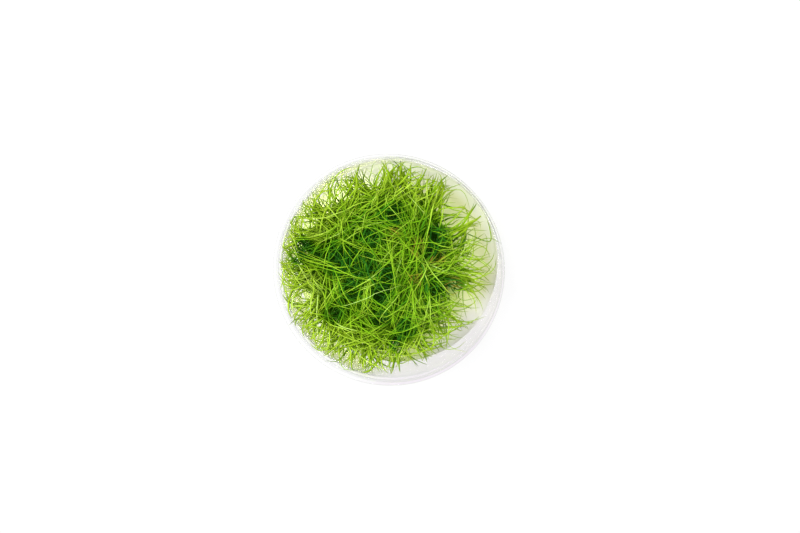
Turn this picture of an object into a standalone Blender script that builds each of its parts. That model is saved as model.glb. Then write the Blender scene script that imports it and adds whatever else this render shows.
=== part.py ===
"""Dwarf hairgrass in vitro cup.

A clear plastic cup without its lid, the nutrient gel in its foot, and fourteen tufts of
dwarf hairgrass planted in the gel. Metres, +Z up. The origin is the centre of the foot
ring, on the surface that the cup stands on. +X is the right side and -Y the front.
"""

import math
import random

import bmesh
import bpy
from mathutils import Matrix, Vector

# Cup
CUP_HEIGHT = 0.055
RIM_RADIUS = 0.050
RIM_WIDTH = 0.0016
RIM_DEPTH = 0.0022
RIM_EDGE = 0.0003
WALL = 0.0008
DRAFT = math.tan(math.radians(4.0))
SHOULDER_TOP = 0.0470
SHOULDER_DROP = 0.0012
SHOULDER_STEP = 0.0006
FOOT_CORNER = 0.0030
FOOT_WIDTH = 0.0016
FLOOR_LIFT = 0.0010
FLOOR = 0.0010
ROUND_SEGMENTS = 64
CORNER_STEPS = 3

# Gel
GEL_SURFACE = 0.0160
MENISCUS_RISE = 0.0008
MENISCUS_WIDTH = 0.0025
FIT_GAP = 0.0003

# Tufts: where each crown stands on the gel, seen from above
CROWNS = (
    (-0.0130, 0.0310),
    (0.0040, 0.0340),
    (0.0200, 0.0270),
    (0.0310, 0.0130),
    (0.0320, -0.0050),
    (0.0195, -0.0190),
    (0.0050, -0.0320),
    (-0.0135, -0.0300),
    (-0.0280, -0.0170),
    (-0.0340, 0.0000),
    (-0.0280, 0.0175),
    (-0.0110, 0.0080),
    (0.0110, 0.0060),
    (-0.0020, -0.0120),
)
CROWN_SIDES = 6
PLUG_TIP_RADIUS = 0.0012
PLUG_RADIUS = 0.0028
PLUG_DEPTH = 0.0090
CROWN_RADIUS = 0.0042
CROWN_LIFT = 0.0008
SHEATH_RISE = 0.0042
TOP_RADIUS = 0.0030
TOP_RISE = 0.0058
HEART_RADIUS = 0.0012

# Locks of blades
LOCK_STATIONS = (0.30, 0.62, 0.86, 1.0)
LOCK_WIDTHS = (0.0034, 0.0028, 0.0018)
OUTER_TIP = (0.0400, 0.0510)
INNER_TIP = (0.0490, 0.0575)
HEART_TIP = (0.0520, 0.0585)
OUTER_SPREAD = (0.85, 1.0)
INNER_SPREAD = (0.50, 0.80)
HEART_WIDTH = 0.6
WIDEST_REACH = 0.0200
SHORTEST_REACH = 0.0005
LOCK_GAP = 0.0004
SEED = 7

# The grass stops short of the wall on this side, so that bare gel shows there
BARE_SIDE = Vector((1.0, -1.0)).normalized()
BARE_REACH = 0.0338

CLEAR_PLASTIC = ((0.93, 0.94, 0.96, 0.30), 0.08)
NUTRIENT_GEL = ((0.90, 0.89, 0.82, 0.55), 0.15)
GRASS = ((0.15, 0.36, 0.02, 1.0), 0.45)


def clear_scene():
    for obj in list(bpy.data.objects):
        bpy.data.objects.remove(obj, do_unlink=True)


def material(name, finish):
    colour, roughness = finish
    made = bpy.data.materials.new(name)
    made.use_nodes = True
    shader = made.node_tree.nodes["Principled BSDF"]
    shader.inputs["Base Color"].default_value = (*colour[:3], 1.0)
    shader.inputs["Alpha"].default_value = colour[3]
    shader.inputs["Roughness"].default_value = roughness
    made.diffuse_color = colour
    return made


def object_from(bm, name, finish):
    """A linked object that holds the bmesh, with its faces pointing out."""
    bmesh.ops.recalc_face_normals(bm, faces=bm.faces)
    mesh = bpy.data.meshes.new(name)
    bm.to_mesh(mesh)
    bm.free()
    if finish:
        mesh.materials.append(finish)
    obj = bpy.data.objects.new(name, mesh)
    bpy.context.scene.collection.objects.link(obj)
    return obj


def arc(centre, radius, start, end):
    """Points (r, z) on a round corner, from one angle to another in degrees."""
    points = []
    for step in range(CORNER_STEPS + 1):
        angle = math.radians(start + (end - start) * step / CORNER_STEPS)
        points.append(
            (centre[0] + radius * math.cos(angle), centre[1] + radius * math.sin(angle))
        )
    return points


def turned(name, profile, finish):
    """A closed solid of revolution about Z, from a profile that begins and ends on the axis."""
    bm = bmesh.new()
    points = [bm.verts.new((r, 0.0, z)) for r, z in profile]
    edges = [bm.edges.new(pair) for pair in zip(points, points[1:])]
    bmesh.ops.spin(
        bm,
        geom=points + edges,
        cent=(0.0, 0.0, 0.0),
        axis=(0.0, 0.0, 1.0),
        angle=math.tau,
        steps=ROUND_SEGMENTS,
        use_merge=True,
    )
    bmesh.ops.remove_doubles(bm, verts=bm.verts, dist=1e-6)
    obj = object_from(bm, name, finish)
    obj.data.shade_smooth()
    obj.data.set_sharp_from_angle(angle=math.radians(35.0))
    return obj


def mouth_radius():
    return RIM_RADIUS - RIM_WIDTH


def inner_radius(z):
    """The radius of the cup's inner wall at height z."""
    at_wall = mouth_radius() - (CUP_HEIGHT - z) * DRAFT
    if z >= SHOULDER_TOP:
        return at_wall
    dropped = min(1.0, (SHOULDER_TOP - z) / SHOULDER_DROP)
    return at_wall - SHOULDER_STEP * dropped


def outer_radius(z):
    return inner_radius(z) + WALL


def cup_profile():
    """The cup's section: out under the floor, up the outside, over the rim and down the inside."""
    foot = outer_radius(FOOT_CORNER) - FOOT_CORNER
    floor_top = FLOOR_LIFT + FLOOR
    shoulder_foot = SHOULDER_TOP - SHOULDER_DROP
    under_rim = CUP_HEIGHT - RIM_DEPTH
    inside_corner = FOOT_CORNER - WALL
    inside = inner_radius(floor_top + inside_corner) - inside_corner
    return (
        [
            (0.0, FLOOR_LIFT),
            (foot - FOOT_WIDTH - FLOOR_LIFT, FLOOR_LIFT),
            (foot - FOOT_WIDTH, 0.0),
        ]
        + arc((foot, FOOT_CORNER), FOOT_CORNER, -90.0, 0.0)
        + [
            (outer_radius(shoulder_foot), shoulder_foot),
            (outer_radius(SHOULDER_TOP), SHOULDER_TOP),
            (outer_radius(under_rim), under_rim),
            (RIM_RADIUS, under_rim + RIM_EDGE),
            (RIM_RADIUS, CUP_HEIGHT - RIM_EDGE),
            (RIM_RADIUS - RIM_EDGE, CUP_HEIGHT),
            (mouth_radius() + RIM_EDGE, CUP_HEIGHT),
            (mouth_radius(), CUP_HEIGHT - RIM_EDGE),
            (inner_radius(SHOULDER_TOP), SHOULDER_TOP),
            (inner_radius(shoulder_foot), shoulder_foot),
        ]
        + arc((inside, floor_top + inside_corner), inside_corner, 0.0, -90.0)
        + [(0.0, floor_top)]
    )


def gel_profile():
    """The gel fills the cup's foot and climbs a little where it meets the wall."""
    bottom = FLOOR_LIFT + FLOOR + FIT_GAP
    corner = FOOT_CORNER - WALL
    edge = GEL_SURFACE + MENISCUS_RISE
    beside = inner_radius(bottom + corner) - FIT_GAP - corner
    top_edge = inner_radius(edge) - FIT_GAP
    return (
        [(0.0, bottom)]
        + arc((beside, bottom + corner), corner, -90.0, 0.0)
        + [
            (top_edge, edge),
            (top_edge - MENISCUS_WIDTH * 0.4, GEL_SURFACE + MENISCUS_RISE * 0.25),
            (top_edge - MENISCUS_WIDTH, GEL_SURFACE),
            (0.0, GEL_SURFACE),
        ]
    )


def plug_mesh(grown):
    """The root plug of a tuft, or with grown the slightly larger socket that it sits in."""
    bm = bmesh.new()
    bmesh.ops.create_cone(
        bm,
        cap_ends=True,
        segments=CROWN_SIDES,
        radius1=PLUG_TIP_RADIUS + grown,
        radius2=PLUG_RADIUS + grown,
        depth=PLUG_DEPTH + grown,
        matrix=Matrix.Translation((0.0, 0.0, -(PLUG_DEPTH + grown) / 2)),
    )
    return bm


def socket_cutter(index, crown):
    """A cutter for one socket: the plug's shape, grown by the gap, running up past the gel."""
    bm = plug_mesh(FIT_GAP)
    top = [f for f in bm.faces if f.normal.z > 0.9]
    raised = bmesh.ops.extrude_face_region(bm, geom=top)
    bmesh.ops.delete(bm, geom=top, context="FACES_ONLY")
    corners = [v for v in raised["geom"] if isinstance(v, bmesh.types.BMVert)]
    bmesh.ops.translate(bm, verts=corners, vec=(0.0, 0.0, MENISCUS_RISE * 3))
    bmesh.ops.translate(bm, verts=bm.verts, vec=(*crown, GEL_SURFACE))
    cutter = object_from(bm, f"socket_cutter_{index:02d}", None)
    cutter.hide_render = True
    cutter.display_type = "WIRE"
    return cutter


def make_gel(finish):
    gel = turned("gel", gel_profile(), finish)
    for index, crown in enumerate(CROWNS, start=1):
        cut = gel.modifiers.new(f"socket_{index:02d}", "BOOLEAN")
        cut.operation = "DIFFERENCE"
        cut.solver = "EXACT"
        cut.object = socket_cutter(index, crown)
    return gel


def has_room(point, half_width, crown):
    """True where a lock of this half width keeps clear of the wall, the bare side and the next tufts."""
    flat = Vector(point[:2])
    if flat.length + half_width + LOCK_GAP > inner_radius(min(point[2], CUP_HEIGHT)):
        return False
    if flat.dot(BARE_SIDE) + half_width > BARE_REACH:
        return False
    for other in CROWNS:
        apart = Vector(other) - Vector(crown)
        if apart.length < 1e-9:
            continue
        past_middle = (flat - Vector(crown)).dot(apart.normalized()) - apart.length / 2
        if past_middle + half_width + LOCK_GAP > 0.0:
            return False
    return True


def lock_path(start, heading, reach, tip_height):
    """Stations along a lock that rises and then leans outwards to its tip."""
    lean = Vector((math.cos(heading), math.sin(heading)))
    stations = []
    for t in LOCK_STATIONS:
        out = reach * t**1.5
        height = start.z + (tip_height - start.z) * (1.0 - (1.0 - t) ** 1.35)
        along = Vector(start[:2]) + lean * out
        stations.append(Vector((along.x, along.y, height)))
    return stations


def longest_reach(start, crown, heading, wanted, tip_height):
    """The longest reach, up to the one wanted, whose path has room all along."""
    reach = wanted
    while reach > SHORTEST_REACH:
        path = lock_path(start, heading, reach, tip_height)
        widths = (*LOCK_WIDTHS, 0.0)
        if all(has_room(p, w / 2, crown) for p, w in zip(path, widths)):
            return reach
        reach *= 0.94
    return 0.0


def grow_lock(bm, face, path, slimness):
    """Extrudes a face of the crown along a path, narrowing it, and closes it in a point."""
    direction = face.normal.copy()
    centre = face.calc_center_median()
    offsets = [loop.vert.co - centre for loop in face.loops]
    size = max(offset.length for offset in offsets) / slimness
    before = centre
    for station, width in zip(path, (*LOCK_WIDTHS, 0.0)):
        after = (station - before).normalized()
        turn = direction.rotation_difference(after)
        offsets = [turn @ offset for offset in offsets]
        direction, before = after, station
        face = bmesh.ops.extrude_discrete_faces(bm, faces=[face])["faces"][0]
        for loop, offset in zip(face.loops, offsets):
            loop.vert.co = station + offset * (width / 2 / size)
    bmesh.ops.pointmerge(bm, verts=face.verts[:], merge_co=path[-1])


def ring(bm, radius, height, crown):
    corners = []
    for side in range(CROWN_SIDES):
        angle = math.tau * side / CROWN_SIDES
        corners.append(
            bm.verts.new(
                (
                    crown[0] + radius * math.cos(angle),
                    crown[1] + radius * math.sin(angle),
                    height,
                )
            )
        )
    return corners


def band(bm, low, high):
    """Quads between two rings, in order round the crown."""
    faces = []
    for side in range(CROWN_SIDES):
        following = (side + 1) % CROWN_SIDES
        faces.append(
            bm.faces.new((low[side], low[following], high[following], high[side]))
        )
    return faces


def make_tuft(index, crown, finish):
    """One tuft: its root plug in the gel, its crown, and its locks of blades."""
    dice = random.Random(SEED * 100 + index)
    bm = bmesh.new()
    tip = ring(bm, PLUG_TIP_RADIUS, GEL_SURFACE - PLUG_DEPTH, crown)
    surface = ring(bm, PLUG_RADIUS, GEL_SURFACE + CROWN_LIFT, crown)
    shoulder = ring(bm, CROWN_RADIUS, GEL_SURFACE + 2 * CROWN_LIFT, crown)
    sheath = ring(bm, CROWN_RADIUS, GEL_SURFACE + SHEATH_RISE, crown)
    upper = ring(bm, TOP_RADIUS, GEL_SURFACE + TOP_RISE, crown)
    heart = ring(bm, HEART_RADIUS, GEL_SURFACE + TOP_RISE + CROWN_LIFT, crown)
    bm.faces.new(reversed(tip))
    band(bm, tip, surface)
    band(bm, surface, shoulder)
    outer_faces = band(bm, shoulder, sheath)
    band(bm, sheath, upper)
    inner_faces = band(bm, upper, heart)
    heart_face = bm.faces.new(heart)
    bm.normal_update()

    for side, (outer, inner) in enumerate(zip(outer_faces, inner_faces)):
        wanted = WIDEST_REACH
        for face, turned_by, spread, tips in (
            (outer, 0.5, OUTER_SPREAD, OUTER_TIP),
            (inner, 0.9, INNER_SPREAD, INNER_TIP),
        ):
            start = face.calc_center_median()
            heading = math.tau * (side + turned_by) / CROWN_SIDES + dice.uniform(-0.15, 0.15)
            height = dice.uniform(*tips)
            wanted *= dice.uniform(*spread)
            wanted = longest_reach(start, crown, heading, wanted, height)
            grow_lock(bm, face, lock_path(start, heading, wanted, height), 1.0)
    middle = heart_face.calc_center_median()
    upright = lock_path(middle, 0.0, 0.0, dice.uniform(*HEART_TIP))
    grow_lock(bm, heart_face, upright, HEART_WIDTH)
    return object_from(bm, f"tuft_{index:02d}", finish)


def main():
    clear_scene()
    turned("cup", cup_profile(), material("clear_plastic", CLEAR_PLASTIC))
    make_gel(material("nutrient_gel", NUTRIENT_GEL))
    grass = material("hairgrass", GRASS)
    for index, crown in enumerate(CROWNS, start=1):
        make_tuft(index, crown, grass)


main()
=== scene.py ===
"""Looks of the dwarf hairgrass in vitro cup: the clear cup, the gel, and the grass blade by blade.

Metres, +Z up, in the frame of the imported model. +X is the right side of the cup as it is seen
from above, and +Y its top.
"""

import math
from dataclasses import dataclass

import bpy
import numpy as np
from mathutils import Matrix, Vector


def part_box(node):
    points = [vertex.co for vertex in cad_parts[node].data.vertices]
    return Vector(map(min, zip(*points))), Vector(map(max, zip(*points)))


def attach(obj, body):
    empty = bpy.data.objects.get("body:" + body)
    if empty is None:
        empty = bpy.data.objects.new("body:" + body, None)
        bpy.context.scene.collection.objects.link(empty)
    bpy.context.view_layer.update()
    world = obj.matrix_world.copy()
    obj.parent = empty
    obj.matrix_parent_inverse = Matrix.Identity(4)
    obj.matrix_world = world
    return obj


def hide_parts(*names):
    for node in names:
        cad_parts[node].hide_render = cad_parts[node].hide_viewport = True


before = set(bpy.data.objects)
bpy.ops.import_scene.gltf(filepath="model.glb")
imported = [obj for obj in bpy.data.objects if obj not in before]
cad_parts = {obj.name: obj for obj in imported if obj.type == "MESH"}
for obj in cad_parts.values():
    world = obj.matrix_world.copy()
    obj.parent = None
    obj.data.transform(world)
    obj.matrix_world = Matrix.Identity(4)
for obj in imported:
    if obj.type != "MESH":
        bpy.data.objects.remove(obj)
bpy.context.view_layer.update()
bpy.ops.object.select_all(action="DESELECT")

# The photograph, in its own pixels
PHOTO_SIZE = (800, 533)
RIM_CENTRE_PIXEL = (388.0, 270.5)
RIM_RADIUS_PIXELS = 116.5

# Camera
CAMERA_DISTANCE = 0.80
CAMERA_TILT = math.radians(8.0)
CAMERA_SIDE = math.radians(45.0)
SENSOR_WIDTH = 36.0
CLIP_START = 0.01

# Floor and light
FLOOR_SIZE = 6.0
FLOOR_DROP = 0.00005
SKY_STRENGTH = 1.15
SOFTBOX_SIZE = 0.35
SOFTBOX_ENERGY = 14.0
SOFTBOX_PLACE = Vector((-0.20, 0.18, 0.75))
SOFTBOX_AIM = Vector((0.0, 0.0, 0.03))

# Cup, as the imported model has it
CUP_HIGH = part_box("cup")[1]
RIM_RADIUS = CUP_HIGH.x
CUP_HEIGHT = CUP_HIGH.z
RIM_WIDTH = 0.0016
RIM_DEPTH = 0.0022
RIM_EDGE = 0.0003
WALL = 0.0008
DRAFT = math.tan(math.radians(4.0))
SHOULDER_TOP = 0.0470
SHOULDER_DROP = 0.0012
SHOULDER_STEP = 0.0006
FOOT_CORNER = 0.0030
FOOT_CHAMFER = FOOT_CORNER * 0.3
FOOT_WIDTH = 0.0016
FLOOR_LIFT = 0.0010
FLOOR = 0.0010

# Gel
GEL_SURFACE = 0.0160
MENISCUS_RISE = 0.0008
MENISCUS_WIDTH = 0.0025
MENISCUS_BEND = (0.4, 0.25)
GEL_IN_WALL = 0.0001

# How the cup and the gel are turned
CORNER_ROUNDING = 0.0003
CORNER_STEPS = 3
CUP_SEGMENTS = 160
GEL_SEGMENTS = 128
MERGE_DISTANCE = 1e-6
SMOOTH_ANGLE = math.radians(40.0)

# The mass of grass as it is seen: in each direction (degrees) how far it is dense and how far its
# blades reach (millimetres), and where it is thin (x, y, radius)
REACHES = (
    (0, 28.5, 46.5),
    (20, 30.0, 46.5),
    (40, 30.0, 47.0),
    (60, 35.5, 47.5),
    (80, 34.5, 47.5),
    (120, 35.5, 47.3),
    (145, 37.5, 47.3),
    (160, 41.0, 47.3),
    (180, 37.0, 47.4),
    (200, 35.5, 47.3),
    (220, 39.0, 47.3),
    (240, 36.5, 46.5),
    (265, 35.0, 45.5),
    (285, 32.5, 43.5),
    (305, 31.0, 42.5),
    (325, 25.0, 44.0),
    (340, 25.5, 45.5),
    (360, 28.5, 46.5),
)
THIN_SPOTS = (
    (-0.0086, 0.0427, 0.0034),
    (-0.0050, 0.0390, 0.0024),
    (-0.0210, 0.0335, 0.0028),
    (-0.0285, 0.0315, 0.0030),
    (-0.0347, 0.0193, 0.0024),
    (-0.0365, -0.0110, 0.0026),
    (-0.0300, -0.0235, 0.0012),
    (-0.0178, -0.0365, 0.0028),
    (0.0097, -0.0416, 0.0040),
    (0.0280, 0.0300, 0.0046),
    (0.0270, 0.0212, 0.0024),
    (0.0235, 0.0075, 0.0014),
    (0.0365, 0.0165, 0.0030),
    (0.0395, 0.0084, 0.0026),
    (0.0380, 0.0020, 0.0024),
    (0.0352, -0.0120, 0.0022),
    (0.0345, -0.0190, 0.0028),
    (0.0285, -0.0275, 0.0024),
    (0.0110, 0.0415, 0.0024),
)

# Dark depths between the tufts, where blades part and are plucked and shade is painted on them (x, y,
# radius)
DEPTHS = (
    (-0.0235, 0.0050, 0.0085),
    (-0.0165, -0.0085, 0.0050),
    (-0.0350, 0.0070, 0.0060),
    (-0.0117, 0.0015, 0.0070),
    (-0.0070, 0.0145, 0.0050),
    (0.0015, 0.0245, 0.0060),
    (-0.0235, -0.0182, 0.0065),
    (0.0212, 0.0143, 0.0060),
    (0.0190, -0.0072, 0.0050),
    (0.0185, 0.0085, 0.0040),
    (-0.0010, -0.0030, 0.0050),
    (-0.0035, -0.0105, 0.0050),
    (-0.0025, -0.0205, 0.0040),
    (0.0075, -0.0255, 0.0055),
    (0.0034, -0.0315, 0.0040),
    (0.0285, -0.0068, 0.0050),
)

# Shades close to the wall (x, y, radius)
SHADES = (
    (-0.0400, 0.0050, 0.0040),
    (-0.0372, 0.0117, 0.0036),
)

# Where some blades have withered (x, y, radius)
WITHERED = (
    (0.0130, 0.0098, 0.0040),
    (0.0022, 0.0163, 0.0034),
    (0.0215, 0.0045, 0.0036),
    (0.0120, -0.0030, 0.0036),
    (0.0285, -0.0068, 0.0042),
)

# How a blade is grown. A pair is a lowest and a highest value, and a run is a share of the way
# from its foot to its tip.
SEED = 15
ROOT_DEPTH = 0.0015
ROOT_SCATTER = 0.0004
CLEARANCE = 0.0003
HIGHEST = 0.0580
FURTHEST = 0.0478
SHOOT_LEAN = 1.2
BLADE_SWAY = 0.12
FOOT_RUN = (0.05, 0.30)
TIP_RUN = 0.42
WAVE = 0.0003
WAVE_TURNS = (0.8, 2.2)
FLATNESS = (0.6, 1.0)
RAISE = 0.002
RAISES = 16

# Between these distances from the axis a tuft comes to be one of the edge
EDGE_TUFTS = (0.020, 0.030)

# How blades keep clear of the depths and the thin spots
PLUCKED_SHARE = 0.7
PLUCKED_ABOVE = 0.030
PUSH_REACH = 1.2
PUSH_SHARE = 0.5
THIN_PARTING = 0.6

# The shape of one blade: how it narrows, how blunt it ends, and a way that none of them runs
NARROWING = 0.35
BLUNTNESS = 5
ACROSS = np.array([0.31, 0.77, 0.12])
CURVE_STEPS = 200

# How tone, sun and age run over the blades: tone is raised near the wall and up high as painted light
# and lowered low down and in the dark depths as painted shade, and sun is painted light. Distances from
# the axis are in metres, heights are shares of the way from the gel to the rim, and ends are in sizes of
# a spot.
TONE_EDGE = (0.018, 0.038)
EDGE_TONE = 0.34
HEIGHT_TONE = 0.24
MIDDLE_HEIGHT = 0.6
SUN_EDGE = (0.024, 0.040)
SUN_HEIGHT = (0.20, 0.65)
SPOT_CORE = 0.4
SHADE_END = 1.3
SHADE_HEIGHT = (0.75, 1.0)
SHADE_TONE = 0.44
SHADE_SUN = 0.8
WITHERED_END = 1.4
WITHERED_SHARE = 0.5
FRAIL = (0.95, 1.15)
MOST_AGE = 0.9

# What is taken for nothing
TINY = 1e-9
LEVEL_TOLERANCE = 1e-4

# The reaches, stars and strays are in millimetres
MM_PER_METRE = 1000.0


@dataclass(frozen=True)
class Kind:
    """One kind of blade that every crown grows. A pair is a lowest and a highest value."""

    count: int
    at_edge: float
    shoot: int
    spread: float
    comb: float
    fan: float
    reach: tuple
    height: tuple
    rise: tuple
    slope: tuple
    sway: float
    limit: tuple
    shyness: float
    parting: float
    radius: tuple
    tone: float
    tone_spread: float
    rings: int
    sides: int


@dataclass(frozen=True)
class Tuft:
    """What sets one tuft apart: how full it and its fringe are, its comb and its tone."""

    fullness: float
    fringe: float
    comb: tuple
    tone: float


KINDS = {
    "thatch": Kind(
        count=300, at_edge=0.8, shoot=1, spread=0.0120, comb=0.0, fan=0.0,
        reach=(0.004, 0.013), height=(0.0172, 0.025), rise=(0.5, 0.9), slope=(-0.3, 0.3),
        sway=0.5, limit=(-0.9, 0.0), shyness=1.0, parting=0.0, radius=(0.00042, 0.00080),
        tone=0.30, tone_spread=0.08, rings=6, sides=3,
    ),
    "mat": Kind(
        count=110, at_edge=0.75, shoot=4, spread=0.0080, comb=0.2, fan=0.8,
        reach=(0.008, 0.019), height=(0.025, 0.039), rise=(0.6, 1.0), slope=(-0.5, 0.5),
        sway=0.45, limit=(-0.9, 0.15), shyness=1.0, parting=0.6, radius=(0.00024, 0.00044),
        tone=0.24, tone_spread=0.14, rings=10, sides=5,
    ),
    "fan": Kind(
        count=52, at_edge=1.0, shoot=5, spread=0.0060, comb=0.7, fan=0.45,
        reach=(0.013, 0.030), height=(0.036, 0.051), rise=(0.7, 1.05), slope=(-0.5, 0.4),
        sway=0.40, limit=(-0.6, 0.6), shyness=0.9, parting=0.8, radius=(0.00022, 0.00042),
        tone=0.38, tone_spread=0.20, rings=16, sides=5,
    ),
    "fringe": Kind(
        count=2, at_edge=48.0, shoot=2, spread=0.0100, comb=1.4, fan=0.60,
        reach=(0.018, 0.036), height=(0.036, 0.052), rise=(0.5, 0.9), slope=(-0.4, 0.5),
        sway=0.78, limit=(0.60, 1.05), shyness=0.75, parting=0.5, radius=(0.00031, 0.00060),
        tone=0.22, tone_spread=0.16, rings=18, sides=4,
    ),
    "over": Kind(
        count=34, at_edge=0.7, shoot=2, spread=0.0080, comb=0.1, fan=0.12,
        reach=(0.016, 0.040), height=(0.046, 0.0560), rise=(0.9, 1.15), slope=(-0.25, 0.15),
        sway=0.22, limit=(0.0, 0.9), shyness=0.8, parting=0.45, radius=(0.00016, 0.00032),
        tone=0.52, tone_spread=0.18, rings=18, sides=5,
    ),
}
TUFTS = {
    "tuft_01": Tuft(0.90, 1.6, (-0.50, 0.30), 0.05),
    "tuft_02": Tuft(1.00, 1.7, (-0.05, 0.50), 0.00),
    "tuft_03": Tuft(0.95, 1.3, (0.30, 0.35), 0.02),
    "tuft_04": Tuft(0.85, 1.5, (0.50, 0.20), 0.08),
    "tuft_05": Tuft(0.95, 1.8, (0.52, 0.10), 0.10),
    "tuft_06": Tuft(0.90, 1.4, (0.46, -0.20), 0.16),
    "tuft_07": Tuft(0.95, 1.2, (0.10, -0.45), 0.00),
    "tuft_08": Tuft(0.95, 1.5, (-0.20, -0.45), 0.12),
    "tuft_09": Tuft(0.95, 1.6, (-0.45, -0.30), 0.20),
    "tuft_10": Tuft(1.15, 1.7, (-0.50, 0.08), 0.26),
    "tuft_11": Tuft(1.10, 2.6, (-0.45, 0.22), 0.02),
    "tuft_12": Tuft(1.10, 1.0, (-0.10, 0.00), -0.04),
    "tuft_13": Tuft(0.95, 1.0, (0.05, -0.10), 0.00),
    "tuft_14": Tuft(1.10, 1.0, (0.00, 0.03), -0.04),
}


# Nodes on runners above the mat, from which blades part like a star
# (place as seen, height, count, tone), in millimetres
STARS = (
    (-19.7, 12.8, 41, 9, 0.60),
    (-1.6, 19.4, 42, 9, 0.55),
    (-9.6, -2.2, 41, 10, 0.60),
    (15.1, 3.3, 42, 10, 0.62),
    (8.8, 16.7, 40, 8, 0.50),
    (-27.0, -17.0, 38, 8, 0.62),
    (3.0, -20.0, 41, 9, 0.60),
    (22.0, -19.0, 39, 7, 0.66),
    (29.0, 4.0, 40, 7, 0.68),
    (-33.0, 4.0, 40, 9, 0.42),
    (8.0, -33.0, 36, 7, 0.50),
    (2.5, 38.0, 38, 8, 0.40),
    (-17.0, 27.0, 38, 7, 0.58),
    (20.0, 28.0, 39, 7, 0.55),
)
STAR_REACH = (0.008, 0.020)
STAR_LIMIT = 0.8
STAR_RADIUS = (0.00020, 0.00038)
STAR_RISE = (-0.002, 0.012)
STAR_SCATTER = 0.0003
STAR_SWAY = 0.35
STAR_FOOT_RUN = 0.3
STAR_FOOT_LIFT = (0.003, 0.008)
STAR_TIP_RUN = 0.4
STAR_TIP_LIFT = (-0.002, 0.004)
STAR_WAVE = 0.0002
STAR_FLATNESS = 0.8
STAR_TONE_SPREAD = 0.10
STAR_RINGS = 14
STAR_SIDES = 5
STEM_RINGS = 6

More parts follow.
